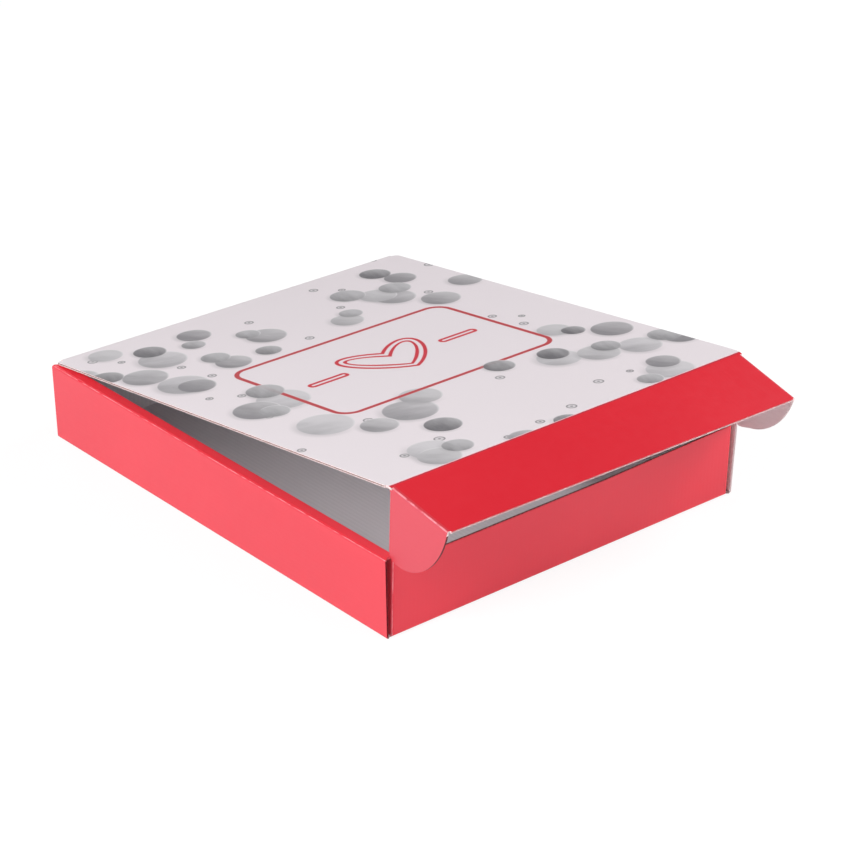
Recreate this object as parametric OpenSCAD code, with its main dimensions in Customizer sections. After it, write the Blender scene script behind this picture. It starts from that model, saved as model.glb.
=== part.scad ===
// Gift box folded from one sheet of thin corrugated board: a tray with roll-over side walls,
// a hinged lid, a front flap on the lid and an ear at each end of the flap.
// Millimetres, +Z up, the front towards -Y. The origin is the middle of the tray's underside.

/* [Board] */
// Thickness of the corrugated board
board_t = 1.6; // [1.2:0.1:2]
// Gap beside a crease where two panels turn against each other
crease_gap = 0.3; // [0.2:0.05:0.4]
// Play between panels that lie against each other
panel_play = 0.2; // [0.15:0.05:0.3]

/* [Tray] */
// Width across the bottom
tray_w = 300; // [200:5:400]
// Length from the front wall to the back wall
tray_l = 345; // [240:5:450]
// Height of the side walls
side_h = 55.2; // [46:0.2:80]
// How far an outer side panel leans out at its top
side_lean = 2.5; // [1.5:0.1:4]
// How far the front wall stays below the side walls
front_drop = 6.4; // [5:0.2:12]
// From the bottom's side edge to the outer face of a corner flap
slot_inset = 3.9; // [3.7:0.1:6]
// Length of a corner flap inside its side wall
corner_flap_l = 60; // [30:5:90]
// How far a corner flap stays below the front wall
corner_flap_drop = 1.3; // [0.5:0.1:4]
// Width of a locking tab where it meets the inner panel
tab_w = 30; // [15:1:50]
// Distance between the two locking tabs of a side
tab_pitch = 170; // [100:5:190]

/* [Lid] */
// How far the lid stands open
lid_open = 7.6; // [6:0.1:30]
// How far the lid's side edge stays inside the bottom's side edge
lid_inset = 0.1; // [0:0.1:1]
// Gap between the closed lid and the ridges of the side walls
lid_play = 0.4; // [0.3:0.1:1]

/* [Front flap] */
// How far the flap is folded down from the lid's plane
flap_fold = 17.6; // [0:0.1:22]
// Gap between the tucked flap and the front wall
flap_play = 0.4; // [0.3:0.1:1]
// Height of the tucked flap's edge above the ground
flap_foot = 3.9; // [2:0.1:12]

/* [Ears] */
// Height of an ear's tip above the ground in the closed box
ear_foot = 9.4; // [5:0.1:16]
// Gap between an ear in its slot and the outer side panel
ear_play = 0.3; // [0.2:0.05:0.5]
// Distance from the lid's crease to the start of an ear
ear_start = 2; // [1.5:0.1:4]
// Distance from the end of an ear to the flap's edge
ear_end_gap = 0.8; // [0.5:0.1:4]
// Radius of an ear's rear corner
ear_corner_r = 8; // [5:0.5:12]
// Room between an ear and the ridge's end as the lid closes
ear_pass = 0.5; // [0.4:0.1:1.5]

/* [Hidden] */
$fn = 32;
printed_red = [0.86, 0.2, 0.25];
printed_white = [0.9, 0.88, 0.89];
half_t = board_t / 2;
// How far two panels of one sheet reach into each other where they join
overlap = 0.2;

front_h = side_h - front_drop;
front_half = tray_w / 2 - slot_inset;
fold_x = front_half - half_t;
inner_mid_x = front_half - board_t - panel_play - half_t;
outer_mid_x = tray_w / 2 - half_t;
panel_foot_z = board_t + panel_play;
corner_flap_h = front_h - corner_flap_drop;
corner_flap_cut = 8;
ridge_end = tray_l / 2 - board_t - panel_play;
tab_taper = 2;
tab_recess = 0.2;

hinge_y = tray_l / 2 - half_t;
hinge_z = side_h + lid_play + half_t;
back_h = hinge_z - half_t - crease_gap;
lid_w = tray_w - 2 * lid_inset;
lid_l = hinge_y + tray_l / 2 + flap_play + half_t;

flap_l = hinge_z - flap_foot;
ear_depth = hinge_z - ear_foot;
// How far the leaning side panel has moved out at the height of an ear's tip
slot_lean = side_lean * ear_foot / side_h;
flap_half = tray_w / 2 - board_t + slot_lean - ear_play;
ear_mid_x = flap_half - half_t;
flap_panel_half = ear_mid_x - half_t - crease_gap;
ear_end = flap_l - ear_end_gap;
ear_corner_n = ear_depth - ear_corner_r;
// Distance from the hinge to the point that an ear's rear corner clears as the lid closes
pass_r = hinge_y + ridge_end + ear_pass;
// How far the arc of the closing lid already carries that corner forward
pass_rise = (pow(lid_l, 2) + pow(ear_corner_n, 2) - pow(pass_r, 2)) / (2 * lid_l);
ear_rear = max(ear_start, (ear_corner_n * sin(flap_fold) - pass_rise) / cos(flap_fold));
ear_heel = ear_rear + ear_corner_r;

// One straight stretch of board seen on edge, from point a to point b
module board_run(a, b) {
  run = b - a;
  translate(a)
    rotate(atan2(run[1], run[0]))
      translate([0, -half_t])
        square([norm(run), board_t]);
}

// The rounded outside of a fold seen on edge
module board_bend(at) {
  translate(at)
    circle(r = half_t);
}

// Carries an outline drawn in x and z along the tray from y0 to y1
module along_tray(y0, y1) {
  translate([0, y1, 0])
    rotate([90, 0, 0])
      linear_extrude(y1 - y0)
        children();
}

// Carries an outline drawn in y and z across the tray, as far as half_length to each side
module across_tray(half_length) {
  translate([-half_length, 0, 0])
    rotate([90, 0, 90])
      linear_extrude(2 * half_length)
        children();
}

// A rounded crease line across the lid or the flap
module crease_across(half_length) {
  translate([-half_length, 0, 0])
    rotate([0, 90, 0])
      cylinder(h = 2 * half_length, r = half_t);
}

module both_sides() {
  children();
  mirror([1, 0, 0])
    children();
}

module both_ends() {
  children();
  mirror([0, 1, 0])
    children();
}

module lock_slots() {
  slot_w = board_t + 2 * panel_play;
  slot_l = tab_w + 2 * panel_play;
  for (side = [-1, 1], end = [-1, 1])
    translate([side * inner_mid_x - slot_w / 2, end * tab_pitch / 2 - slot_l / 2, -board_t])
      cube([slot_w, slot_l, 3 * board_t]);
}

// Bottom, front wall and back wall, which are one bent strip, with the slots for the tabs
module bottom_and_ends() {
  front_foot = [-hinge_y, half_t];
  back_foot = [hinge_y, half_t];
  difference() {
    across_tray(fold_x) {
      board_run([-hinge_y, front_h], front_foot);
      board_bend(front_foot);
      board_run(front_foot, back_foot);
      board_bend(back_foot);
      board_run(back_foot, [hinge_y, back_h]);
    }
    lock_slots();
  }
}

// Outer panel, flat ridge and inner panel of the side wall at +X
module side_wall() {
  foot = [outer_mid_x, half_t];
  outer_crease = [outer_mid_x + side_lean, side_h - half_t];
  inner_crease = [inner_mid_x, side_h - half_t];
  inner_foot = [inner_mid_x, panel_foot_z];
  along_tray(-hinge_y, hinge_y)
    board_run([fold_x - overlap, half_t], foot);
  along_tray(-tray_l / 2, tray_l / 2) {
    board_bend(foot);
    board_run(foot, outer_crease);
    board_bend(outer_crease);
  }
  along_tray(-ridge_end, ridge_end) {
    board_run(outer_crease, inner_crease);
    board_bend(inner_crease);
    board_run(inner_crease, inner_foot);
  }
  for (end = [-1, 1])
    translate([inner_mid_x - half_t, end * tab_pitch / 2, panel_foot_z])
      lock_tab();
}

// Tapered tab that goes down through its slot in the bottom
module lock_tab() {
  depth = panel_foot_z - tab_recess;
  rotate([90, 0, 90])
    linear_extrude(board_t)
      polygon([
        [-tab_w / 2, overlap],
        [-tab_w / 2 + tab_taper, -depth],
        [tab_w / 2 - tab_taper, -depth],
        [tab_w / 2, overlap]
      ]);
}

// Flap of the front wall that stands inside the side wall at +X
module corner_flap() {
  back = -tray_l / 2 + corner_flap_l;
  translate([front_half - board_t, 0, 0])
    rotate([90, 0, 90])
      linear_extrude(board_t)
        polygon([
          [-hinge_y, panel_foot_z],
          [back - corner_flap_cut, panel_foot_z],
          [back, panel_foot_z + corner_flap_cut],
          [back, corner_flap_h - corner_flap_cut],
          [back - corner_flap_cut, corner_flap_h],
          [-hinge_y, corner_flap_h]
        ]);
}

// Rounded upright fold between an end wall and its corner flap
module corner_fold(height) {
  translate([fold_x, -hinge_y, half_t])
    cylinder(h = height - half_t, r = half_t);
}

module tray() {
  color(printed_red)
    union() {
      bottom_and_ends();
      both_sides() {
        side_wall();
        corner_fold(front_h);
        mirror([0, 1, 0])
          corner_fold(back_h);
        both_ends()
          corner_flap();
      }
    }
}

// Carries children from the hinge line to the lid as it stands, the lid towards -Y
module at_lid() {
  translate([0, hinge_y, hinge_z])
    rotate([-lid_open, 0, 0])
      children();
}

// Carries children from the flap's crease to the flap as it is folded
module at_flap() {
  at_lid()
    translate([0, -lid_l, 0])
      rotate([flap_fold, 0, 0])
        children();
}

module lid() {
  lid_edge = lid_l - half_t - crease_gap;
  color(printed_white)
    at_lid() {
      crease_across(lid_w / 2);
      translate([-lid_w / 2, -lid_edge, -half_t])
        cube([lid_w, lid_edge, board_t]);
    }
}

module tuck_flap() {
  shoulder = ear_start - crease_gap;
  color(printed_red)
    at_flap() {
      crease_across(flap_half);
      translate([-flap_half, -shoulder, -half_t])
        cube([2 * flap_half, shoulder, board_t]);
      translate([-flap_panel_half, -flap_l, -half_t])
        cube([2 * flap_panel_half, flap_l, board_t]);
    }
}

// Outline of an ear: distance from the lid's crease, then depth below the flap
function corner_point(a) = [ear_heel - ear_corner_r * cos(a), ear_corner_n + ear_corner_r * sin(a)];
function front_point(a) = [ear_heel + (ear_end - ear_heel) * sin(a), ear_depth * cos(a)];
corner_points = [for (a = [0 : 10 : 80]) corner_point(a)];
front_points = [for (a = [0 : 4.5 : 90]) front_point(a)];

module ear() {
  translate([ear_mid_x - half_t, 0, 0])
    rotate([-90, 0, -90])
      linear_extrude(board_t)
        polygon(concat([[ear_start, 0]], corner_points, front_points));
  translate([ear_mid_x, -ear_start, 0])
    rotate([90, 0, 0])
      cylinder(h = ear_end - ear_start, r = half_t);
}

module ear_left() {
  color(printed_red)
    at_flap()
      mirror([1, 0, 0])
        ear();
}

module ear_right() {
  color(printed_red)
    at_flap()
      ear();
}

tray();
lid();
tuck_flap();
ear_left();
ear_right();
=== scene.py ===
import bpy, bmesh, math
from mathutils import Euler, Matrix, Vector


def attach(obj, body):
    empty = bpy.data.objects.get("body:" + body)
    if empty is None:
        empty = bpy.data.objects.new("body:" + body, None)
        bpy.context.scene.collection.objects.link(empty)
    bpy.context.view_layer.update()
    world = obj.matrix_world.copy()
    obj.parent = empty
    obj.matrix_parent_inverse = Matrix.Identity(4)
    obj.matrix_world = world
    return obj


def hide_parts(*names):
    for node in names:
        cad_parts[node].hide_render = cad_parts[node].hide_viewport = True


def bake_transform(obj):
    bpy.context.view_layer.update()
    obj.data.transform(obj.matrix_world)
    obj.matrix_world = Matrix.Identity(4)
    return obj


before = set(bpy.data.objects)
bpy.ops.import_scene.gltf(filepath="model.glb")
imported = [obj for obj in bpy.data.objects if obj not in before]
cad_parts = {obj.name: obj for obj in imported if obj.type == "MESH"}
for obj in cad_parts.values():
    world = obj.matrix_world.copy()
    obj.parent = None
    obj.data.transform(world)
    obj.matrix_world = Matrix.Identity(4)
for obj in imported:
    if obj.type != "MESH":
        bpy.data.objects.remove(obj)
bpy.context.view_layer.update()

print("stage: helpers")

board = 0.0016        # thickness of the sheet
foldRadius = 0.0011   # rounding of the sheet's middle at a crease
fold = 0.0013         # where a rounded crease starts beside its line
tiny = 0.00004
printedHalf = 0.0002  # a lip further out from the sheet's middle than this is the printed liner's

# the first materials of every sheet: printed side, liner, raw edge, and the groove in it
outside, inside, rawEdge, groove = range(4)


def deselectAll():
    if bpy.context.object and bpy.context.object.mode != "OBJECT":
        bpy.ops.object.mode_set(mode="OBJECT")
    bpy.ops.object.select_all(action="DESELECT")


def choose(piece):
    deselectAll()
    piece.select_set(True)
    bpy.context.view_layer.objects.active = piece


def rename(piece, name):
    piece.name = name
    piece.data.name = name


def newPlane(name, centre, width, length, turn=(0, 0, 0)):
    deselectAll()
    bpy.ops.mesh.primitive_plane_add(size=1, location=centre, rotation=turn)
    piece = bpy.context.object
    rename(piece, name)
    piece.scale = (width, length, 1)
    bpy.ops.object.transform_apply(location=True, rotation=True, scale=True)
    return piece


def edit():
    bpy.ops.object.mode_set(mode="EDIT")
    bpy.ops.mesh.select_all(action="DESELECT")


def pick(kind, test):
    # selects the vertices, edges or faces whose own vertices all pass the test
    bpy.ops.mesh.select_all(action="DESELECT")
    bpy.ops.mesh.select_mode(type=kind)
    mesh = bmesh.from_edit_mesh(bpy.context.object.data)
    parts = {"VERT": mesh.verts, "EDGE": mesh.edges, "FACE": mesh.faces}[kind]
    for part in parts:
        corners = [part] if kind == "VERT" else part.verts
        if all(test(v.co) for v in corners):
            part.select_set(True)
    mesh.select_flush_mode()
    bmesh.update_edit_mesh(bpy.context.object.data)


def pickFaces(test):
    bpy.ops.mesh.select_all(action="DESELECT")
    bpy.ops.mesh.select_mode(type="FACE")
    mesh = bmesh.from_edit_mesh(bpy.context.object.data)
    for face in mesh.faces:
        if test(face):
            face.select_set(True)
    bmesh.update_edit_mesh(bpy.context.object.data)


def near(a, b):
    return abs(a - b) < tiny


def middleOf(face):
    return face.calc_center_median()


def extrudeEdges(move):
    bpy.ops.mesh.extrude_edges_move(TRANSFORM_OT_translate={"value": move})


def shift(move):
    bpy.ops.transform.translate(value=move)


def cut(place, normal):
    bpy.ops.mesh.bisect(plane_co=place, plane_no=normal)


def roundCorner(size, segments):
    bpy.ops.mesh.bevel(offset_type="OFFSET", offset=size, segments=segments, profile=0.5, affect="VERTICES")


def roundCreases(radius=foldRadius):
    bpy.ops.mesh.bevel(offset_type="OFFSET", offset=radius, segments=4, profile=0.5,
                       affect="EDGES", clamp_overlap=False)
    # the middle of each crease is marked, so that the print can wear there and a painted highlight can lie
    # along it
    mesh = bmesh.from_edit_mesh(bpy.context.object.data)
    creaseMiddle = mesh.verts.layers.float.get("creaseMiddle") or mesh.verts.layers.float.new("creaseMiddle")
    rounded = {face for face in mesh.faces if face.select}
    inner = {v for v in mesh.verts if v.link_faces and all(face in rounded for face in v.link_faces)}
    for v in inner:
        if all(e.other_vert(v) in inner for e in v.link_edges):
            v[creaseMiddle] = 1.0
    bmesh.update_edit_mesh(bpy.context.object.data)


def finishSheet(piece, materials, thickness=board):
    # the folded surface gets its thickness, and so its liner and raw edge
    choose(piece)
    for material in materials:
        piece.data.materials.append(material)
    solid = piece.modifiers.new("board", "SOLIDIFY")
    solid.thickness = thickness
    solid.offset = 0
    solid.use_even_offset = True
    solid.use_quality_normals = True
    solid.material_offset = inside
    solid.material_offset_rim = rawEdge
    bpy.ops.object.modifier_apply(modifier="board")


def openEdge(test, lip, depth):
    # hollows a raw edge between its two liners
    edit()
    pickFaces(lambda face: face.material_index == rawEdge and test(face))
    bpy.ops.mesh.inset(thickness=lip, depth=0, use_boundary=True, use_even_offset=True)
    bpy.ops.mesh.extrude_region_shrink_fatten(TRANSFORM_OT_shrink_fatten={"value": -depth})
    paintPicked(groove)


def paintPicked(material):
    mesh = bmesh.from_edit_mesh(bpy.context.object.data)
    for face in mesh.faces:
        if face.select:
            face.material_index = material
    bmesh.update_edit_mesh(bpy.context.object.data)
    bpy.ops.object.mode_set(mode="OBJECT")


def paint(material, before, test):
    # of the active piece's faces with the material before, those that pass the test get the new one
    edit()
    pickFaces(lambda face: face.material_index == before and test(face))
    paintPicked(material)


def smooth(piece, angle=30):
    choose(piece)
    bpy.ops.object.shade_smooth_by_angle(angle=math.radians(angle))


def keepFlat(piece):
    # the wide panels keep their own flat shading right up to the rounded creases
    choose(piece)
    even = piece.modifiers.new("even", "WEIGHTED_NORMAL")
    even.keep_sharp = True
    even.weight = 50
    bpy.ops.object.modifier_apply(modifier="even")


print("stage: materials")


def newMaterial(name):
    material = bpy.data.materials.new(name)
    material.use_nodes = True
    tree = material.node_tree
    return material, tree, tree.nodes["Principled BSDF"]


def addNode(tree, kind, settings=(), **inputs):
    # an input is given by its name, or by its number as i0, i1 and so on
    made = tree.nodes.new(kind)
    for key, value in dict(settings).items():
        setattr(made, key, value)
    for key, value in inputs.items():
        byNumber = key[0] == "i" and key[1:].isdigit()
        socket = made.inputs[int(key[1:]) if byNumber else key]
        if isinstance(value, bpy.types.NodeSocket):
            tree.links.new(value, socket)
        else:
            socket.default_value = value
    return made


def mathNode(tree, operation, a, b=0.0, clamp=False):
    settings = {"operation": operation, "use_clamp": clamp}
    return addNode(tree, "ShaderNodeMath", settings, i0=a, i1=b).outputs[0]


def times(tree, a, b):
    return mathNode(tree, "MULTIPLY", a, b)


def plus(tree, a, b):
    return mathNode(tree, "ADD", a, b)


def minus(tree, a, b):
    return mathNode(tree, "SUBTRACT", a, b)


def above(tree, a, b):
    return mathNode(tree, "GREATER_THAN", a, b)


def lengthOf(tree, a, b):
    return mathNode(tree, "SQRT", plus(tree, times(tree, a, a), times(tree, b, b)))


def mixColour(tree, amount, low, high):
    settings = {"data_type": "RGBA", "blend_type": "MIX"}
    return addNode(tree, "ShaderNodeMix", settings, i0=amount, i6=low, i7=high).outputs[2]


def addRange(tree, value, low, high, kind="LINEAR"):
    # from 0 at low to 1 at high
    span = {"From Min": low, "From Max": high}
    return addNode(tree, "ShaderNodeMapRange", {"interpolation_type": kind}, Value=value, **span).outputs[0]


def softStep(tree, value, low, high):
    return addRange(tree, value, low, high, "SMOOTHSTEP")


def fromTo(tree, value, low, high):
    # from low at 0 to high at 1
    span = {"To Min": low, "To Max": high}
    return addNode(tree, "ShaderNodeMapRange", Value=value, **span).outputs[0]


def noise(tree, coords, scale, detail, dimensions="3D", **more):
    settings = {"noise_dimensions": dimensions}
    made = addNode(tree, "ShaderNodeTexNoise", settings, Vector=coords, Scale=scale, Detail=detail, **more)
    return made.outputs[0]


def paperCoords(tree):
    return addNode(tree, "ShaderNodeTexCoord").outputs["Object"]


def creaseMiddlePart(tree):
    return addNode(tree, "ShaderNodeAttribute", {"attribute_name": "creaseMiddle"}).outputs["Fac"]


def finishShader(tree, shader, colour, bump, roughness=None, specular=None):
    tree.links.new(colour, shader.inputs["Base Color"])
    tree.links.new(bump, shader.inputs["Normal"])
    if roughness is not None:
        shader.inputs["Roughness"].default_value = roughness
    if specular is not None:
        shader.inputs["Specular IOR Level"].default_value = specular


printed = {
    "red": (0.745, 0.022, 0.036, 1), "deepRed": (0.70, 0.017, 0.030, 1),
    # the flap's red is a darker copy of the print's red: painted shade for how light falls on the flap
    "flapShadedRed": (0.635, 0.019, 0.031, 1), "flapShadedDeep": (0.61, 0.016, 0.028, 1),
    # the crease red is a darker band of red: painted shade along the flap's crease
    "creaseShadeRed": (0.46, 0.042, 0.058, 1), "creaseShadeDeep": (0.42, 0.034, 0.050, 1),
    # the ears' red is a darker, pinker copy of the print's red, painted for how light falls on the ears
    "earShadedRed": (0.605, 0.040, 0.056, 1), "earShadedDeep": (0.58, 0.034, 0.048, 1),
    # the ridges' red is a brighter copy of the print's red: painted light on the ridge tops
    "litRidgeRed": (0.96, 0.036, 0.054, 1), "litRidgeDeep": (0.93, 0.030, 0.046, 1),
    # crack: a pale line along a crease's middle, partly cracked print and partly a painted highlight
    "crackAndHighlight": (0.90, 0.34, 0.37, 1), "crackAndHighlightShare": 0.8, "crackPatch": 160.0,
    "speck": (0.4, 0.01, 0.02, 1), "speckShare": 0.06, "speckScale": 1400.0,
    "blotch": 9.0,              # patches of the ink's slow unevenness per metre
    "roughness": (0.32, 0.42),
    "glossTint": (0.80, 0.80, 1.0, 1),
    "wash": 0.0034,             # distance between two flutes under the liner
    "washDepth": 0.000006, "grain": 900.0, "grainDepth": 0.000012,
}


def fluteWave(tree, coords, axis):
    place = addNode(tree, "ShaderNodeSeparateXYZ", Vector=coords).outputs[axis]
    return mathNode(tree, "SINE", times(tree, place, 2 * math.pi / printed["wash"]))


def fluteBump(tree, coords, axis, height, grain, grainHeight):
    # the flutes just show through the liner, and its fibres give a fine grain
    ripple = times(tree, fluteWave(tree, coords, axis), height)
    fibre = times(tree, noise(tree, coords, grain, 3.0), grainHeight)
    total = plus(tree, ripple, fibre)
    return addNode(tree, "ShaderNodeBump", Height=total, Strength=1.0, Distance=1.0).outputs[0]


def printedBump(tree, coords, axis):
    return fluteBump(tree, coords, axis, printed["washDepth"], printed["grain"], printed["grainDepth"])


def makePrintedRed(name, rippleAxis, ink="red", deepInk="deepRed", gloss=0.6, wearAndHighlight=(0.45, 0.95)):
    material, tree, shader = newMaterial(name)
    coords = paperCoords(tree)
    blotch = noise(tree, coords, printed["blotch"], 4.0)
    speck = noise(tree, coords, printed["speckScale"], 2.0)
    patchy = noise(tree, coords, printed["crackPatch"], 5.0)
    colour = mixColour(tree, softStep(tree, blotch, 0.3, 0.75), printed[deepInk], printed[ink])
    # along the crease's middle the red turns pale: cracked print and a painted highlight
    crackAndHighlight = times(tree, softStep(tree, creaseMiddlePart(tree), *wearAndHighlight), softStep(tree, patchy, 0.30, 0.62))
    colour = mixColour(tree, times(tree, crackAndHighlight, printed["crackAndHighlightShare"]), colour, printed["crackAndHighlight"])
    colour = mixColour(tree, times(tree, speck, printed["speckShare"]), colour, printed["speck"])
    tree.links.new(fromTo(tree, patchy, *printed["roughness"]), shader.inputs["Roughness"])
    shader.inputs["Specular Tint"].default_value = printed["glossTint"]
    finishShader(tree, shader, colour, printedBump(tree, coords, rippleAxis), specular=gloss)
    return material


liner = {
    "grey": (0.68, 0.645, 0.665, 1), "darkFibre": (0.54, 0.51, 0.52, 1),
    "plain": (0.73, 0.695, 0.71, 1),
    # earGrey and earFibre: the liner tinted pink on the ears, painted red light bounced onto their insides
    "earGrey": (0.92, 0.76, 0.78, 1), "earFibre": (0.86, 0.68, 0.70, 1),
    "fibreScale": 520.0, "fibreRoughness": 0.65,
    "cloud": (0.62, 0.6, 0.61, 1), "cloudScale": 26.0, "cloudShare": 0.12,
    "stripe": (0.30, 0.28, 0.29, 1),
    "roughness": 0.85, "specular": 0.3, "grain": 700.0, "grainDepth": 0.00003,
}


def makeLiner(name, rippleAxis, tone="grey", fibreTone="darkFibre", stripes=0.06, ripple=0.00003):
    material, tree, shader = newMaterial(name)
    coords = paperCoords(tree)
    fibre = noise(tree, coords, liner["fibreScale"], 6.0, Roughness=liner["fibreRoughness"])
    cloud = noise(tree, coords, liner["cloudScale"], 3.0)
    colour = mixColour(tree, softStep(tree, fibre, 0.62, 0.86), liner[tone], liner[fibreTone])
    colour = mixColour(tree, times(tree, cloud, liner["cloudShare"]), colour, liner["cloud"])
    stripe = softStep(tree, fluteWave(tree, coords, rippleAxis), 0.0, 1.0)
    colour = mixColour(tree, times(tree, stripe, stripes), colour, liner["stripe"])
    bump = fluteBump(tree, coords, rippleAxis, ripple, liner["grain"], liner["grainDepth"])
    finishShader(tree, shader, colour, bump, liner["roughness"], liner["specular"])
    return material


rawPaper = {
    "cutEdge": (0.36, 0.24, 0.23, 1), "cutDark": (0.19, 0.11, 0.10, 1),
    "paleEdge": (0.84, 0.70, 0.70, 1), "paleDark": (0.66, 0.48, 0.47, 1),
    # the fluting's kraft brown is darkened further: painted shade in the raw edges' grooves
    "shadedFluting": (0.15, 0.085, 0.065, 1), "flutingDark": (0.06, 0.035, 0.03, 1),
    "shadeEdge": (0.26, 0.020, 0.030, 1), "shadeDark": (0.10, 0.010, 0.014, 1),
    "crushed": (0.52, 0.40, 0.41, 1), "torn": (0.20, 0.09, 0.06, 1),
    "bright": (0.95, 0.85, 0.86, 1), "chip": (0.86, 0.70, 0.70, 1),
    "flapEdge": (0.70, 0.40, 0.41, 1),
    # earEdge: the left ear's rim, its dark core darkened further to maroon by painted shade
    "earEdge": (0.25, 0.085, 0.095, 1), "earEdgeDark": (0.13, 0.040, 0.046, 1),
    "fuzzRoughness": 0.7, "fuzzDepth": 0.00012, "roughness": 0.95, "specular": 0.15,
}


def makeRaw(name, light, dark, scale, patches=(0.35, 0.72)):
    material, tree, shader = newMaterial(name)
    fuzz = noise(tree, paperCoords(tree), scale, 6.0, Roughness=rawPaper["fuzzRoughness"])
    colour = mixColour(tree, softStep(tree, fuzz, *patches), rawPaper[light], rawPaper[dark])
    bump = addNode(tree, "ShaderNodeBump", Height=fuzz, Strength=0.6, Distance=rawPaper["fuzzDepth"])
    finishShader(tree, shader, colour, bump.outputs[0], rawPaper["roughness"], rawPaper["specular"])
    return material


lidTilt = math.radians(7.6)       # how far the lid stands open
flapTilt = math.radians(-10.0)

artwork = {
    "white": (0.80, 0.735, 0.765, 1), "whiteCloud": (0.72, 0.67, 0.70, 1),
    "cloudScale": 7.0, "cloudShare": 0.25, "roughness": 0.33,
    "frameRed": (0.52, 0.075, 0.085, 1),
    "lineRed": (0.60, 0.05, 0.07, 1), "linePale": (0.78, 0.50, 0.52, 1),
    # creasePink: a pink line along the lid's creases, rubbed print and a painted highlight
    "creasePink": (0.88, 0.52, 0.58, 1), "creaseShare": 0.75,
    # the drawing is measured on the flat lid, across from its middle and from the hinge to the front
    "hingeShift": 0.16273,
    "frameCentre": (0.0, 0.176), "frameHalf": (0.091, 0.060), "frameRound": 0.012, "frameLine": 0.0020,
    # the heart is a turned ellipse and its mirror image, drawn twice, between two rules
    "heartShift": (0.0070, 0.001), "heartReach": (0.0335, 0.0144), "heartTurn": -45, "heartGap": 0.0055,
    "ruleX": 0.0560, "ruleHalf": (0.0150, 0.0024), "ruleRound": 0.0022,
    "line": 0.0015, "paleLine": 0.0022, "paleShare": 0.35,
    # layers of round spots: cells per metre, turn, place, radius range, share of cells, pale and dark grey
    "spots": [
        (17.0, 0.40, (0.35, 1.70), (0.25, 0.33), 0.80, (0.62, 0.60, 0.62, 1), (0.30, 0.29, 0.305, 1)),
        (21.0, 1.05, (5.13, 2.44), (0.24, 0.34), 0.70, (0.57, 0.555, 0.57, 1), (0.24, 0.23, 0.245, 1)),
        (26.0, 1.90, (9.41, 7.32), (0.22, 0.34), 0.55, (0.50, 0.49, 0.505, 1), (0.14, 0.135, 0.145, 1)),
    ],
    "spotMargin": 0.004, "spotShare": 0.95, "spotLight": (-0.92, -0.38, 0),
    "strokeStretch": 3.0, "strokeScale": 2.2,
    "shadeParts": (0.34, 0.5, 0.6),       # parts of a spot's shade: its side, its strokes, its own tone
    "spotRim": (0.80, 0.775, 0.79, 1), "rimShare": 0.6,
    "spotShadow": (0.36, 0.35, 0.36, 1), "shadowShare": 0.42,
    "beads": (48.0, 0.70, (3.37, 6.21), (0.13, 0.19), 0.32), "beadMargin": 0.005,
    # strength and tone of a bead's filling, line and middle
    "beadInks": ((0.55, (0.55, 0.535, 0.55, 1)), (0.85, (0.22, 0.21, 0.22, 1)), (0.8, (0.16, 0.15, 0.16, 1))),
    # the spots stand in loose groups, and more of them beside the frame
    "scatter": 0.33, "groupScale": 9.0, "groupLevel": 0.53, "beadLevel": 0.48,
    "nearFrame": 0.22, "nearReach": (0.055, 0.005),
}


def band(tree, value, half):
    # 1 where the value is within half of nought, with a soft rim
    return addRange(tree, mathNode(tree, "ABSOLUTE", value), half, half * 0.7)


def boxDistance(tree, x, y, centre, half, corner):
    # distance from the outline of a box with rounded corners
    sides = []
    for value, middle, reach in ((x, centre[0], half[0]), (y, centre[1], half[1])):
        away = mathNode(tree, "ABSOLUTE", minus(tree, value, middle))
        sides.append(minus(tree, away, reach - corner))
    far = lengthOf(tree, *[mathNode(tree, "MAXIMUM", side, 0.0) for side in sides])
    inner = mathNode(tree, "MINIMUM", mathNode(tree, "MAXIMUM", *sides), 0.0)
    return minus(tree, plus(tree, far, inner), corner)


def ellipseDistance(tree, x, y, centre, reach, turn):
    # distance from the outline of a turned ellipse, near enough beside the line
    c, s = math.cos(turn), math.sin(turn)
    dx, dy = minus(tree, x, centre[0]), minus(tree, y, centre[1])
    along = plus(tree, times(tree, dx, c / reach[0]), times(tree, dy, s / reach[0]))
    across = plus(tree, times(tree, dx, -s / reach[1]), times(tree, dy, c / reach[1]))
    size = lengthOf(tree, along, across)
    steep = [mathNode(tree, "DIVIDE", part, reached) for part, reached in zip((along, across), reach)]
    slope = lengthOf(tree, *steep)
    return mathNode(tree, "DIVIDE", times(tree, minus(tree, size, 1.0), size), slope)


def frameDistance(tree, x, y):
    return boxDistance(tree, x, y, artwork["frameCentre"], artwork["frameHalf"], artwork["frameRound"])


def turnFlat(tree, vector, angle):
    settings = {"rotation_type": "Z_AXIS"}
    return addNode(tree, "ShaderNodeVectorRotate", settings, Vector=vector, Angle=angle).outputs[0]


def vectorMinus(tree, a, b):
    return addNode(tree, "ShaderNodeVectorMath", {"operation": "SUBTRACT"}, i0=a, i1=b).outputs[0]


def stretch(tree, vector, x, y, place=(0, 0)):
    made = addNode(tree, "ShaderNodeMapping", Vector=vector, Scale=(x, y, 1), Location=(*place, 0))
    return made.outputs[0]


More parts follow.
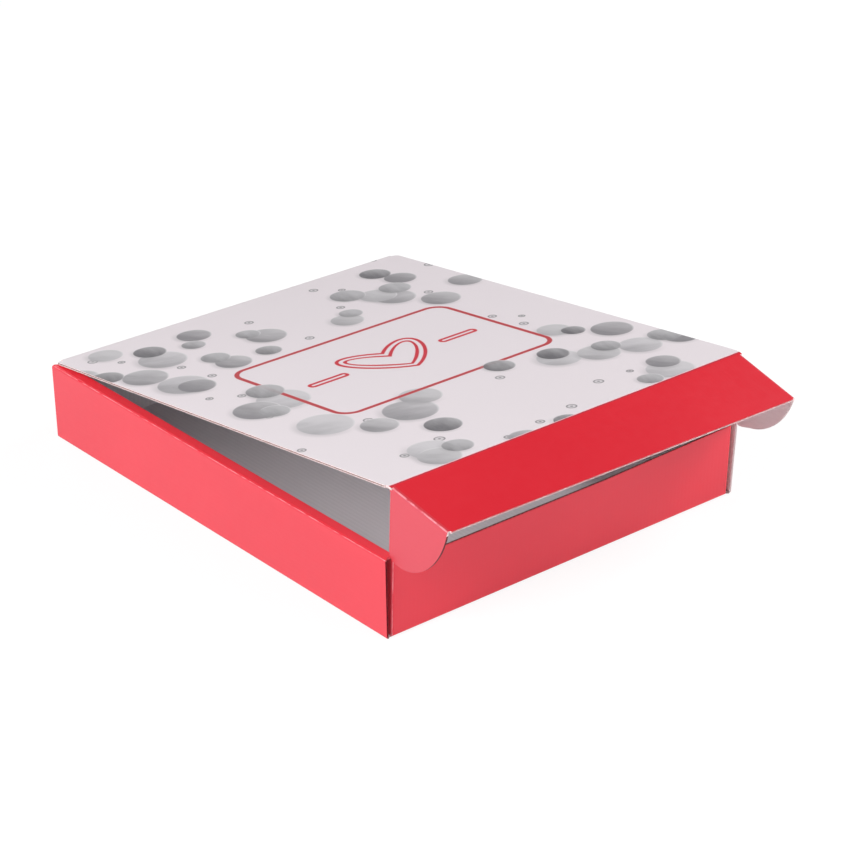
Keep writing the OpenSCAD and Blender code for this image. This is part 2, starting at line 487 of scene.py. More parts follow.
def spotCells(tree, flat, scale, turn, place, radii, share, level, margin):
    # one round spot to a cell; a spot shows when its own middle lies in a group and outside the frame
    moved = stretch(tree, turnFlat(tree, flat, turn), scale, scale, place)
    cells = addNode(tree, "ShaderNodeTexVoronoi", {"voronoi_dimensions": "2D"}, Vector=moved,
                    Scale=1.0, Randomness=artwork["scatter"])
    middle = vectorMinus(tree, cells.outputs["Position"], (*place, 0))
    middle = turnFlat(tree, stretch(tree, middle, 1 / scale, 1 / scale), -turn)
    split = addNode(tree, "ShaderNodeSeparateXYZ", Vector=middle)
    away = frameDistance(tree, split.outputs[0], times(tree, split.outputs[1], -1.0))
    groups = noise(tree, middle, artwork["groupScale"], 1.0, "2D")
    beside = times(tree, softStep(tree, away, *artwork["nearReach"]), artwork["nearFrame"])
    chance = addNode(tree, "ShaderNodeSeparateColor", Color=cells.outputs["Color"])
    shown = mathNode(tree, "LESS_THAN", chance.outputs[0], share)
    shown = times(tree, shown, above(tree, plus(tree, groups, beside), level))
    shown = times(tree, shown, above(tree, away, margin))
    radius = fromTo(tree, chance.outputs[1], *radii)
    depth = minus(tree, radius, cells.outputs["Distance"])
    offset = turnFlat(tree, vectorMinus(tree, moved, cells.outputs["Position"]), -turn)
    return {"moved": moved, "shown": shown, "radius": radius, "depth": depth, "offset": offset,
            "distance": cells.outputs["Distance"], "tone": chance.outputs[2]}


def spotLayer(tree, flat, colour, scale, turn, place, radii, share, pale, dark):
    # soft grey rounds, each shaded from one side to the other, with a faint shadow beside it
    spot = spotCells(tree, flat, scale, turn, place, radii, share,
                     artwork["groupLevel"], artwork["spotMargin"])
    filled = times(tree, addRange(tree, spot["depth"], 0.0, 0.014), spot["shown"])
    lean = addNode(tree, "ShaderNodeVectorMath", {"operation": "DOT_PRODUCT"},
                   i0=spot["offset"], i1=artwork["spotLight"]).outputs["Value"]
    lean = mathNode(tree, "DIVIDE", lean, spot["radius"])
    shadow = times(tree, softStep(tree, spot["depth"], -0.10, 0.01), spot["shown"])
    shadow = times(tree, shadow, softStep(tree, lean, -0.3, 1.1))
    stroke = stretch(tree, spot["moved"], 1.0, artwork["strokeStretch"])
    stroke = noise(tree, stroke, artwork["strokeScale"], 4.0, "2D")
    sources = zip((lean, stroke, spot["tone"]), artwork["shadeParts"])
    first, second, third = [times(tree, source, part) for source, part in sources]
    shade = plus(tree, plus(tree, first, second), third)
    tone = mixColour(tree, softStep(tree, shade, 0.05, 1.15), pale, dark)
    rim = times(tree, addRange(tree, spot["depth"], 0.035, 0.012), softStep(tree, lean, 0.3, -0.6))
    tone = mixColour(tree, times(tree, rim, artwork["rimShare"]), tone, artwork["spotRim"])
    colour = mixColour(tree, times(tree, shadow, artwork["shadowShare"]), colour, artwork["spotShadow"])
    return mixColour(tree, times(tree, filled, artwork["spotShare"]), colour, tone)


def beadLayer(tree, flat, colour, scale, turn, place, radii, share):
    # small rings with a dark middle
    bead = spotCells(tree, flat, scale, turn, place, radii, share,
                     artwork["beadLevel"], artwork["beadMargin"])
    filled = times(tree, addRange(tree, bead["depth"], 0.0, 0.02), bead["shown"])
    line = times(tree, addRange(tree, bead["depth"], 0.075, 0.04), filled)
    dot = times(tree, addRange(tree, bead["distance"], 0.06, 0.03), filled)
    for amount, (strength, tone) in zip((filled, line, dot), artwork["beadInks"]):
        colour = mixColour(tree, times(tree, amount, strength), colour, tone)
    return colour


def makePrintedWhite(name):
    a = artwork
    material, tree, shader = newMaterial(name)
    coords = paperCoords(tree)
    flat = addNode(tree, "ShaderNodeMapping", Vector=coords, Rotation=(lidTilt, 0, 0),
                   Location=(0, -a["hingeShift"], 0)).outputs[0]
    split = addNode(tree, "ShaderNodeSeparateXYZ", Vector=flat)
    x, y = split.outputs[0], times(tree, split.outputs[1], -1.0)
    cloud = times(tree, noise(tree, coords, a["cloudScale"], 3.0), a["cloudShare"])
    colour = mixColour(tree, cloud, a["white"], a["whiteCloud"])

    # spots in loose groups round a plain red frame, whose inside stays clear
    colour = beadLayer(tree, flat, colour, *a["beads"])
    for layer in a["spots"][:2]:
        colour = spotLayer(tree, flat, colour, *layer)
    colour = mixColour(tree, band(tree, frameDistance(tree, x, y), a["frameLine"]), colour, a["frameRed"])
    colour = spotLayer(tree, flat, colour, *a["spots"][2])

    # a plain outlined heart between two short rules, in the middle of the frame
    midX, midY = a["frameCentre"]
    half = mathNode(tree, "ABSOLUTE", minus(tree, x, midX))
    heartMiddle = (a["heartShift"][0], midY + a["heartShift"][1])
    heart = ellipseDistance(tree, half, y, heartMiddle, a["heartReach"], math.radians(a["heartTurn"]))
    nearest = heart
    for stroke in (plus(tree, heart, a["heartGap"]),
                   boxDistance(tree, half, y, (a["ruleX"], midY), a["ruleHalf"], a["ruleRound"])):
        sizes = [mathNode(tree, "ABSOLUTE", value) for value in (nearest, stroke)]
        nearest = mathNode(tree, "MINIMUM", *sizes)
    pale = times(tree, band(tree, nearest, a["paleLine"]), a["paleShare"])
    colour = mixColour(tree, pale, colour, a["linePale"])
    colour = mixColour(tree, band(tree, nearest, a["line"]), colour, a["lineRed"])

    # the lid's creases turn pink along their middle: rubbed print and a painted highlight
    rubbedAndLit = times(tree, softStep(tree, creaseMiddlePart(tree), 0.0, 0.35), a["creaseShare"])
    colour = mixColour(tree, rubbedAndLit, colour, a["creasePink"])
    finishShader(tree, shader, colour, printedBump(tree, coords, 0), a["roughness"])
    return material


redAlong = makePrintedRed("redPrint", 0)
redSide = makePrintedRed("redPrintSide", 2, gloss=1.0)
redRidgeLit = makePrintedRed("redPrintRidgeLit", 0, "litRidgeRed", "litRidgeDeep", gloss=1.0)
redFlapShaded = makePrintedRed("redPrintFlapShaded", 0, "flapShadedRed", "flapShadedDeep")
redCreaseShade = makePrintedRed("redPaintedCreaseShade", 0, "creaseShadeRed", "creaseShadeDeep")
redEarShaded = makePrintedRed("redPrintEarShaded", 2, "earShadedRed", "earShadedDeep", gloss=1.0)
# the ears' creases: the darker ear red, with a wide pale line along the crease that is a painted highlight
redFoldShadeAndHighlight = makePrintedRed("redPrintFoldShadeAndHighlight", 0, "earShadedRed", "earShadedDeep", gloss=1.0, wearAndHighlight=(0.05, 0.55))
whitePrint = makePrintedWhite("whitePrint")
greyLiner = makeLiner("greyLiner", 0)
earLiner = makeLiner("earLiner", 2, "earGrey", "earFibre", 0.02, 0.000008)
plainBoard = makeLiner("plainBoard", 2, "plain", "grey")
cutPaper = makeRaw("cutPaper", "cutEdge", "cutDark", 1500.0)
palePaper = makeRaw("palePaper", "paleEdge", "paleDark", 700.0)
flapEdge = makeRaw("flapEdge", "flapEdge", "chip", 260.0)
earEdge = makeRaw("earEdge", "earEdge", "earEdgeDark", 900.0)
shadedFluting = makeRaw("shadedFluting", "shadedFluting", "flutingDark", 900.0)
shadedEdge = makeRaw("shadedEdge", "shadeEdge", "shadeDark", 600.0)
tornEdge = makeRaw("tornEdge", "crushed", "torn", 130.0, (0.60, 0.68))
brightLiner = makeRaw("brightLiner", "bright", "chip", 500.0)

print("stage: tray")

tray = {
    "bottomHalf": 0.1492, "foldX": 0.1453, "innerX": 0.1435, "topX": 0.1517,
    "wallY": 0.1717, "sideEnd": 0.1725, "ridgeEnd": 0.1707,
    "low": 0.0008, "frontTop": 0.0488, "backTop": 0.0532, "ridgeZ": 0.0544,
    "innerFoot": 0.0018, "tabFoot": 0.0002,
    "slotHalfWidth": 0.001, "slotHalfLength": 0.0152, "slotY": 0.085, "tabHalf": 0.015, "tabTaper": 0.002,
    "cornerFlapEnd": 0.1125, "cornerFlapDrop": 0.0013, "cornerFlapCut": 0.008, "cornerRoot": 0.004,
    "ridgeLip": 0.0025,                   # the ridge's outer strip, whose ends slant back inwards
    "bleed": 0.004,                       # how far the red runs down the inner panels
    "liftFrom": 0.03, "lift": 0.0026,     # the front wall's top rises a little towards the right
    "cornerRun": 0.012, "cornerTop": 0.0530,   # its left end and its corner flaps reach up to the ridge
    # how far the right side wall is pressed in at its top, from its front end backwards
    "pressed": ((-0.172, 0.0013), (-0.150, 0.0012), (-0.120, 0.0009), (-0.090, 0.0005), (-0.060, 0.00015)),
    "pressedReach": 0.0015,
    "creaseAngle": 0.5,                   # a bend above this, in radians, is a crease
    "outerX": 0.1473, "outerZ": 0.002,    # beyond both lie only an outer side panel and its ridge's lip
    "endY": 0.1722,                       # the outer side panels' raw ends lie beyond it
    "redFrom": 0.003,                     # above it, the front ends of the ridges and inner panels are red
    "rawTopY": 0.17, "rawTopZ": 0.0525,   # the front wall's raw top lies beyond the first, below the second
    "rawBackY": 0.165,                    # the raw edges at the back lie beyond it
    "shadeY": 0.1712, "shadeZ": 0.001,    # the near raw end is shaded beyond the first, above the second
    "litY": 0.15,                         # beyond it, the inside of the right outer side panel is lit
    "lip": 0.00042, "groove": 0.0012,     # liner left beside the groove in a raw edge, and its depth
}


def makeTray(name):
    t = tray
    ridgeX = t["topX"] - t["ridgeLip"]
    pressedX = t["topX"] - t["pressed"][0][1]      # the outer crease where it is pressed in most
    half = t["ridgeZ"] / 2
    piece = newPlane(name, (0, 0, t["low"]), 2 * t["bottomHalf"], 2 * t["wallY"])
    edit()
    for side in (-1, 1):
        bpy.ops.mesh.select_all(action="SELECT")
        cut((side * t["foldX"], 0, 0), (1, 0, 0))
    for end in (-1, 1):
        for way in (-1, 1):
            pick("FACE", lambda v: abs(v.x) < t["foldX"] + tiny)
            cut((0, end * t["slotY"] + way * t["slotHalfLength"], 0), (0, 1, 0))
    for side in (-1, 1):
        for way in (-1, 1):
            pick("FACE", lambda v: abs(v.x) < t["foldX"] + tiny
                 and abs(abs(v.y) - t["slotY"]) < t["slotHalfLength"] + tiny)
            cut((side * t["innerX"] + way * t["slotHalfWidth"], 0, 0), (1, 0, 0))
    # slots that the locking tabs go through
    pickFaces(lambda f: abs(abs(middleOf(f).x) - t["innerX"]) < t["slotHalfWidth"] / 2
              and abs(abs(middleOf(f).y) - t["slotY"]) < t["slotHalfLength"] / 2)
    bpy.ops.mesh.delete(type="FACE")

    # front and back walls, then the flaps at their ends
    for end, top in ((-1, t["frontTop"]), (1, t["backTop"])):
        pick("EDGE", lambda v: near(v.y, end * t["wallY"]) and abs(v.x) < t["foldX"] + tiny)
        extrudeEdges((0, 0, top - t["low"]))
    for side in (-1, 1):
        for end, top in ((-1, t["frontTop"]), (1, t["backTop"])):
            rise = (t["cornerTop"] if end < 0 else t["frontTop"] - t["cornerFlapDrop"]) - top
            rootY = end * (t["wallY"] - t["cornerRoot"])
            atRoot = lambda v: near(v.x, side * t["foldX"]) and near(v.y, rootY)
            pick("EDGE", lambda v: near(v.x, side * t["foldX"]) and near(v.y, end * t["wallY"]))
            extrudeEdges((0, -end * t["cornerRoot"], 0))
            pick("VERT", lambda v: atRoot(v) and v.z > half)
            shift((0, 0, rise))
            pick("VERT", lambda v: atRoot(v) and v.z < half)
            shift((0, 0, t["innerFoot"] - t["low"]))
            pick("EDGE", atRoot)
            extrudeEdges((0, end * t["cornerFlapEnd"] - rootY, 0))
            pick("VERT", lambda v: near(v.x, side * t["foldX"]) and near(v.y, end * t["cornerFlapEnd"]))
            roundCorner(t["cornerFlapCut"], 5)

    for x in (t["liftFrom"], t["cornerRun"] - t["foldX"]):
        pick("FACE", lambda v: near(v.y, -t["wallY"]))
        cut((x, 0, 0), (1, 0, 0))
    for side, height in ((1, t["lift"]), (-1, t["cornerTop"] - t["frontTop"])):
        pick("VERT", lambda v: near(v.x, side * t["foldX"]) and near(v.y, -t["wallY"])
             and near(v.z, t["frontTop"]))
        shift((0, 0, height))

    # the bottom's strip beside each corner flap, then outer panel, ridge and inner panel
    pick("VERT", lambda v: near(abs(v.x), t["bottomHalf"]) and v.y > t["wallY"] - tiny)
    shift((0, t["sideEnd"] - t["wallY"], 0))
    pick("VERT", lambda v: near(abs(v.x), t["bottomHalf"]) and v.y < tiny - t["wallY"])
    shift((0, t["wallY"] - t["sideEnd"], 0))
    for side in (-1, 1):
        onLip = lambda v: near(v.x, side * ridgeX) and near(v.z, t["ridgeZ"])
        onInner = lambda v: near(v.x, side * t["innerX"])
        pick("EDGE", lambda v: near(v.x, side * t["bottomHalf"]))
        extrudeEdges((side * (t["topX"] - t["bottomHalf"]), 0, t["ridgeZ"] - t["low"]))
        extrudeEdges((-side * t["ridgeLip"], 0, 0))
        for end in (-1, 1):
            pick("VERT", lambda v: onLip(v) and end * v.y > t["ridgeEnd"])
            shift((0, end * (t["ridgeEnd"] - t["sideEnd"]), 0))
        pick("EDGE", onLip)
        extrudeEdges((-side * (ridgeX - t["innerX"]), 0, 0))
        extrudeEdges((0, 0, t["innerFoot"] - t["ridgeZ"]))
        pick("FACE", onInner)
        cut((0, 0, t["ridgeZ"] - t["bleed"]), (0, 0, 1))
        for y in (t["slotY"] - t["tabHalf"], t["slotY"] + t["tabHalf"]):
            for end in (-1, 1):
                pick("FACE", lambda v: onInner(v) and v.z > t["innerFoot"] - tiny)
                cut((0, end * y, 0), (0, 1, 0))
        for end in (-1, 1):
            pick("EDGE", lambda v: onInner(v) and near(v.z, t["innerFoot"])
                 and abs(end * v.y - t["slotY"]) < t["tabHalf"] + tiny)
            extrudeEdges((0, 0, t["tabFoot"] - t["innerFoot"]))
            for way in (-1, 1):
                pick("VERT", lambda v: onInner(v) and near(v.z, t["tabFoot"])
                     and near(v.y, end * t["slotY"] + way * t["tabHalf"]))
                shift((0, -way * t["tabTaper"], 0))

    for y, press in t["pressed"]:
        if y > -t["ridgeEnd"]:
            pickFaces(lambda f: middleOf(f).x > t["outerX"] and middleOf(f).z > t["outerZ"])
            cut((0, y, 0), (0, 1, 0))
        pick("VERT", lambda v: v.x > ridgeX - tiny and near(v.z, t["ridgeZ"])
             and abs(v.y - y) < t["pressedReach"])
        shift((-press, 0, 0))

    # creases
    def onCrease(v):
        foot = near(v.z, t["low"]) and near(abs(v.x), t["bottomHalf"])
        top = near(v.z, t["ridgeZ"]) and (abs(v.x) > pressedX - tiny or near(abs(v.x), t["innerX"]))
        ends = near(v.z, t["low"]) and near(abs(v.y), t["wallY"]) and abs(v.x) < t["foldX"] + tiny
        return foot, top, ends, near(abs(v.x), t["foldX"]) and near(abs(v.y), t["wallY"])

    bpy.ops.mesh.select_all(action="DESELECT")
    bpy.ops.mesh.select_mode(type="EDGE")
    mesh = bmesh.from_edit_mesh(piece.data)
    for edge in mesh.edges:
        a, b = (onCrease(v.co) for v in edge.verts)
        if any(p and q for p, q in zip(a, b)) and len(edge.link_faces) == 2:
            if edge.calc_face_angle(0) > t["creaseAngle"]:
                edge.select_set(True)
    bmesh.update_edit_mesh(piece.data)
    roundCreases()
    bpy.ops.object.mode_set(mode="OBJECT")

    # printed side outwards: the bottom's own face looks down
    edit()
    bpy.ops.mesh.select_all(action="SELECT")
    bpy.ops.mesh.normals_make_consistent(inside=False)
    mesh = bmesh.from_edit_mesh(piece.data)
    lowest = min(mesh.faces, key=lambda f: middleOf(f).length)
    if lowest.normal.z > 0:
        bpy.ops.mesh.flip_normals()
    bpy.ops.object.mode_set(mode="OBJECT")
    return piece


trayPiece = makeTray("folded_tray")
finishSheet(trayPiece, [redAlong, greyLiner, cutPaper, shadedFluting,
                        redSide, plainBoard, tornEdge, shadedEdge, brightLiner, redRidgeLit])
sideRed, bareBoard, crushedEnd, shadedEnd, litLiner, litRidgeRed = range(4, 10)
paint(sideRed, outside, lambda f: abs(middleOf(f).x) > tray["foldX"] and abs(f.normal.z) < 0.7)
paint(bareBoard, outside, lambda f: abs(f.normal.x) > 0.9 and abs(middleOf(f).x) < tray["innerX"]
      and middleOf(f).z < tray["ridgeZ"] - tray["bleed"])
# the ridges' tops get the brighter copy of the red, painted light
paint(litRidgeRed, outside, lambda f: abs(middleOf(f).x) > tray["innerX"] and f.normal.z > 0.85)
# the ends of the ridges and inner panels are red at the front
paint(outside, rawEdge, lambda f: f.normal.y < -0.5 and middleOf(f).y > -tray["endY"]
      and middleOf(f).z > tray["redFrom"])
openEdge(lambda f: (f.normal.z > 0.8 and middleOf(f).y < -tray["rawTopY"] and middleOf(f).z < tray["rawTopZ"])
         or (f.normal.y < -0.9 and middleOf(f).y < -tray["endY"] and middleOf(f).x < 0)
         or (f.normal.y > 0.9 and middleOf(f).y > tray["rawBackY"]), tray["lip"], tray["groove"])


def printedLip(face):
    # the red liner's own edge beside a groove
    place = middleOf(face)
    if face.normal.z > 0.8 and place.y < -tray["wallY"]:
        return True
    rise = (place.z - tray["low"]) / (tray["ridgeZ"] - tray["low"])
    sheetX = tray["bottomHalf"] + (tray["topX"] - tray["bottomHalf"]) * rise
    return abs(face.normal.y) > 0.9 and abs(place.x) > sheetX + printedHalf and place.x * place.y > 0


paint(outside, rawEdge, printedLip)
# the near raw end is in the shade of its fold, the far one is crushed flat and a little torn
for before in (rawEdge, groove):
    paint(shadedEnd, before, lambda f: middleOf(f).x < -tray["outerX"]
          and middleOf(f).y < -tray["shadeY"] and middleOf(f).z > tray["shadeZ"])
paint(crushedEnd, rawEdge, lambda f: f.normal.y < -0.9
      and middleOf(f).x > tray["outerX"] and middleOf(f).y < -tray["endY"])
paint(litLiner, inside, lambda f: f.normal.x < -0.9
      and middleOf(f).x > tray["outerX"] and middleOf(f).y < -tray["litY"])
smooth(trayPiece)
keepFlat(trayPiece)
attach(trayPiece, "tray")
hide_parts("tray")

print("stage: lid")

hinge = Vector((0, 0.1717, 0.0564))
flapAxis = Vector((0, -0.170665746, 0.102081377))
lidWay = Vector((0, -math.cos(lidTilt), math.sin(lidTilt)))      # from the hinge to the front
flapWay = Vector((0, -math.cos(flapTilt), math.sin(flapTilt)))
flapUp = Vector((0, math.sin(flapTilt), math.cos(flapTilt)))

lid = {
    "half": 0.1499, "length": 0.3454,
    "crease": 0.0025,     # from a crease's line to the flat panel beside it
    "bend": 0.0012,       # half of the stretch that turns with the next panel
    "whiteBelow": 0.0002,  # how far the white print runs down past the hinge's line
    "leftCorner": 0.0010, "rightCorner": 0.0043,
    "lip": 0.00045, "groove": 0.0003,
}


def lidPoint(x, along):
    return Vector((x, 0, 0)) + hinge + lidWay * along


def flapPoint(x, along):
    return Vector((x, 0, 0)) + flapAxis + flapWay * along


def makeLid(name):
    start, end = lid["crease"], lid["length"] - lid["crease"]
    piece = newPlane(name, lidPoint(0, (start + end) / 2), 2 * lid["half"], end - start, (-lidTilt, 0, 0))
    edit()
    for side, size in ((-1, lid["leftCorner"]), (1, lid["rightCorner"])):
        pick("VERT", lambda v: v.y > 0 and near(v.x, side * lid["half"]))
        roundCorner(size, 6)
    bpy.ops.object.mode_set(mode="OBJECT")
    finishSheet(piece, [whitePrint, greyLiner, palePaper, shadedFluting])
    openEdge(lambda f: abs(f.normal.x) > 0.9, lid["lip"], lid["groove"])
    smooth(piece)
    return piece


lidPiece = makeLid("lid_panel")
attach(lidPiece, "lid")
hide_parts("lid")


def makeCreaseAcross(name, half, low, corner, high):
    # a narrow rounded strip over a crease: it starts at low, turns at corner and ends at high
    run = corner - low
    piece = newPlane(name, (low + corner) / 2, 2 * half, run.length, (math.atan2(run.z, run.y), 0, 0))
    edit()
    pick("EDGE", lambda v: near(v.y, corner.y) and near(v.z, corner.z))
    extrudeEdges(tuple(high - corner))
    pick("EDGE", lambda v: near(v.y, corner.y) and near(v.z, corner.z))
    roundCreases()
    bpy.ops.object.mode_set(mode="OBJECT")
    return piece


def pointOut(piece, direction):
    edit()
    bpy.ops.mesh.select_all(action="SELECT")
    bpy.ops.mesh.normals_make_consistent(inside=False)
    mesh = bmesh.from_edit_mesh(piece.data)
    if sum(f.normal.dot(direction) for f in mesh.faces) < 0:
        bpy.ops.mesh.flip_normals()
    bpy.ops.object.mode_set(mode="OBJECT")


# the strips over the lid's two creases have a second print on one side, and the front one also a darker red
# band of painted shade along its crease
otherPrint, creaseShadeBand = 3, 4
hingeLow = Vector((0, tray["wallY"], tray["backTop"]))
hingePiece = makeCreaseAcross("lid_crease", tray["foldX"], hingeLow, hinge, lidPoint(0, lid["crease"]))
pointOut(hingePiece, Vector((0, 1, 1)))
finishSheet(hingePiece, [whitePrint, greyLiner, palePaper, redAlong])
paint(otherPrint, outside, lambda f: middleOf(f).z < hinge.z - lid["whiteBelow"])
smooth(hingePiece)
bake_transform(hingePiece)

print("stage: front flap and ears")

flap = {
    "half": 0.1462, "length": 0.0525, "earX": 0.147726,
    "lip": 0.0005, "groove": 0.0006,
    "creaseInset": 0.0008,    # how far the crease's strip ends inside the lid's sides
    "rightDrop": 5.2,         # slope of the right end below the flap's plane, in degrees
    # past its rear stretch the right ear is drawn up and back, and all of it leans a little forward
    "earFrom": 0.0009, "earHeld": 0.0087, "earFree": 0.020, "earLift": 0.07, "earForward": 0.028,
}
flapDrop = math.tan(math.radians(flap["rightDrop"]))


def clampUnit(value):
    return min(1, max(0, value))


def dropRightEnd(piece):
    # the flap hangs a little lower towards its right end, and takes its ear along
    for v in piece.data.vertices:
        offset = v.co - flapAxis
        along, below = offset.dot(flapWay), -offset.dot(flapUp) - flap["earFrom"]
        if along > 0:
            share = clampUnit((v.co.x + flap["half"]) / (2 * flap["half"]))
            v.co -= flapUp * along * flapDrop * share
            if v.co.x > flap["half"] and below > 0:
                free = clampUnit((along - flap["earHeld"]) / flap["earFree"])
                free = free * free * (3 - 2 * free)
                v.co += (flapUp * flap["earLift"] - flapWay * flapDrop) * below * free
                v.co += flapWay * below * flap["earForward"]


creasePiece = makeCreaseAcross("flap_crease", lid["half"] - flap["creaseInset"],
                               lidPoint(0, lid["length"] - lid["crease"]), flapAxis,
                               flapPoint(0, lid["crease"]))
pointOut(creasePiece, Vector((0, -0.3, 1)))
finishSheet(creasePiece, [redFlapShaded, greyLiner, palePaper, whitePrint, redCreaseShade])
paint(otherPrint, outside, lambda f: middleOf(f).y > flapAxis.y)
# a narrow band just past the crease's line takes the darker red, painted shade in the crease
paint(creaseShadeBand, outside, lambda f: middleOf(f).y > flapAxis.y - foldRadius)
dropRightEnd(creasePiece)
smooth(creasePiece)
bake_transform(creasePiece)


def makeFlap(name):
    start, end = lid["crease"], flap["length"]
    middle = flapPoint(0, (start + end) / 2)
    piece = newPlane(name, middle, 2 * flap["half"], end - start, (-flapTilt, 0, 0))
    edit()
    bpy.ops.mesh.select_all(action="SELECT")
    bpy.ops.mesh.subdivide(number_cuts=11)
    bpy.ops.object.mode_set(mode="OBJECT")
    finishSheet(piece, [redFlapShaded, greyLiner, flapEdge, shadedFluting])
    openEdge(lambda f: f.normal.y < -0.9, flap["lip"], flap["groove"])
    paint(outside, rawEdge, lambda f: f.normal.y < -0.9
          and (middleOf(f) - flapAxis).dot(flapUp) > printedHalf)
    dropRightEnd(piece)
    smooth(piece)
    return piece


flapPiece = makeFlap("flap_panel")
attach(flapPiece, "tuck_flap")
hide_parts("tuck_flap")

ear = {
    "start": 0.0009, "heel": 0.01545, "end": 0.0517, "depth": 0.047,
    "rearFoot": 0.00910, "cornerRound": 0.0062, "top": 0.0026,
    "board": 0.0015, "lip": 0.00045, "groove": 0.0005, "creaseRound": 0.001,
    "bendAt": 0.02,       # where along the flap the bend's direction is taken
}


def makeEar(name, side):
    # drawn flat, along to the right and depth upwards, then turned into its place
    deselectAll()
    bpy.ops.mesh.primitive_circle_add(vertices=96, radius=1, fill_type="NGON", location=(0, 0, 0))
    piece = bpy.context.object
    rename(piece, name)
    piece.scale = (ear["end"] - ear["heel"], ear["depth"], 1)
    piece.location = (ear["heel"], 0, 0)
    bpy.ops.object.transform_apply(location=True, rotation=True, scale=True)
    edit()
    for place, normal in (((ear["heel"], 0, 0), (1, 0, 0)), ((0, ear["top"], 0), (0, 1, 0))):
        bpy.ops.mesh.select_all(action="SELECT")
        bpy.ops.mesh.bisect(plane_co=place, plane_no=normal, clear_inner=True)
    pick("EDGE", lambda v: near(v.x, ear["heel"]))
    extrudeEdges((ear["rearFoot"] - ear["heel"], 0, 0))
    lean = (ear["rearFoot"] - ear["start"]) / ear["depth"]
    pick("VERT", lambda v: near(v.x, ear["rearFoot"]) and near(v.y, ear["top"]))
    shift((ear["start"] + lean * ear["top"] - ear["rearFoot"], 0, 0))
    pick("VERT", lambda v: near(v.x, ear["rearFoot"]) and near(v.y, ear["depth"]))
    roundCorner(ear["cornerRound"], 10)
    bpy.ops.mesh.select_all(action="SELECT")
    bpy.ops.mesh.dissolve_limited(angle_limit=math.radians(0.2))
    bpy.ops.object.mode_set(mode="OBJECT")
    # columns: along the flap, down the ear, and outwards
    down = -flapUp
    out = Vector((side, 0, 0))
    place = Matrix((
        (flapWay.x, down.x, out.x, side * flap["earX"]),
        (flapWay.y, down.y, out.y, flapAxis.y),
        (flapWay.z, down.z, out.z, flapAxis.z),
        (0, 0, 0, 1)))
    piece.data.transform(place)
    pointOut(piece, out)
    # the right ear's rim keeps the pale raw edge; the left one's is darker, partly painted shade
    finishSheet(piece, [redEarShaded, earLiner, palePaper if side > 0 else earEdge, shadedFluting], ear["board"])
    openEdge(lambda f: f.normal.dot(flapUp) < 0.7, ear["lip"], ear["groove"])
    dropRightEnd(piece)
    smooth(piece)
    return piece


def makeEarCrease(name, side):
    width = flap["earX"] - flap["half"]
    middle = flapPoint(side * (flap["half"] + width / 2), (ear["start"] + ear["end"]) / 2)
    piece = newPlane(name, middle, width, ear["end"] - ear["start"], (-flapTilt, 0, 0))
    edit()
    pick("EDGE", lambda v: near(v.x, side * flap["earX"]))
    extrudeEdges(tuple(-flapUp * ear["top"]))
    pick("EDGE", lambda v: near(v.x, side * flap["earX"]) and (v - flapAxis).dot(flapUp) > -tiny)
    roundCreases(ear["creaseRound"])
    bpy.ops.object.mode_set(mode="OBJECT")
    pointOut(piece, flapUp + Vector((side, 0, 0)))
    finishSheet(piece, [redFoldShadeAndHighlight, earLiner, palePaper, shadedFluting])
    dropRightEnd(piece)
    smooth(piece)
    return piece


for side, word in ((-1, "left"), (1, "right")):
    earPiece = makeEar("ear_panel_" + word, side)
    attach(earPiece, "ear_" + word)
    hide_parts("ear_" + word)
    earCrease = makeEarCrease("ear_crease_" + word, side)
    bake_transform(earCrease)

print("stage: flutes in the raw edges")

flute = {
    "pitch": 0.0034, "reach": 0.00031, "depth": 0.0011, "paper": 0.00014, "sunk": 0.0001,
    "wave": (0, 0.7, 1, 0.7, 0, -0.7, -1, -0.7, 0),
    "flapReach": 0.00023, "flapInset": 0.0003, "innerRun": 0.003, "cornerInset": 0.0004,
}


def makeFlutes(name, start, end, inwards, reach=flute["reach"], material=shadedFluting):
    # one wave of the fluted paper is shaped and repeated from start to end of a raw edge
    run = end - start
    steps = len(flute["wave"]) - 1
    deselectAll()
    bpy.ops.mesh.primitive_grid_add(x_subdivisions=steps, y_subdivisions=1, size=1,
                                    location=(flute["pitch"] / 2, 0, 0))
    piece = bpy.context.object
    rename(piece, name)
    piece.scale = (flute["pitch"], flute["depth"], 1)
    bpy.ops.object.transform_apply(location=True, rotation=True, scale=True)
    edit()
    for step, height in enumerate(flute["wave"]):
        pick("VERT", lambda v: near(v.x, step * flute["pitch"] / steps))
        shift((0, 0, height * reach))
    bpy.ops.object.mode_set(mode="OBJECT")
    row = piece.modifiers.new("row", "ARRAY")
    row.count = math.ceil(run.length / flute["pitch"])
    row.use_merge_vertices = True
    row.merge_threshold = tiny / 4
    bpy.ops.object.modifier_apply(modifier="row")
    edit()
    bpy.ops.mesh.select_all(action="SELECT")
    bpy.ops.mesh.bisect(plane_co=(run.length, 0, 0), plane_no=(1, 0, 0), clear_outer=True)
    bpy.ops.object.mode_set(mode="OBJECT")
    piece.data.materials.append(material)
    wall = piece.modifiers.new("paper", "SOLIDIFY")
    wall.thickness = flute["paper"]
    wall.offset = 0
    bpy.ops.object.modifier_apply(modifier="paper")
    along = run.normalized()
    across = along.cross(inwards).normalized()
    into = across.cross(along)
    middle = start + into * (flute["depth"] / 2 + flute["sunk"])
    piece.matrix_world = Matrix((
        (along.x, into.x, across.x, middle.x),
        (along.y, into.y, across.y, middle.y),
        (along.z, into.z, across.z, middle.z),
        (0, 0, 0, 1)))
    bpy.ops.object.transform_apply(location=True, rotation=True, scale=True)
    smooth(piece, 60)
    return piece


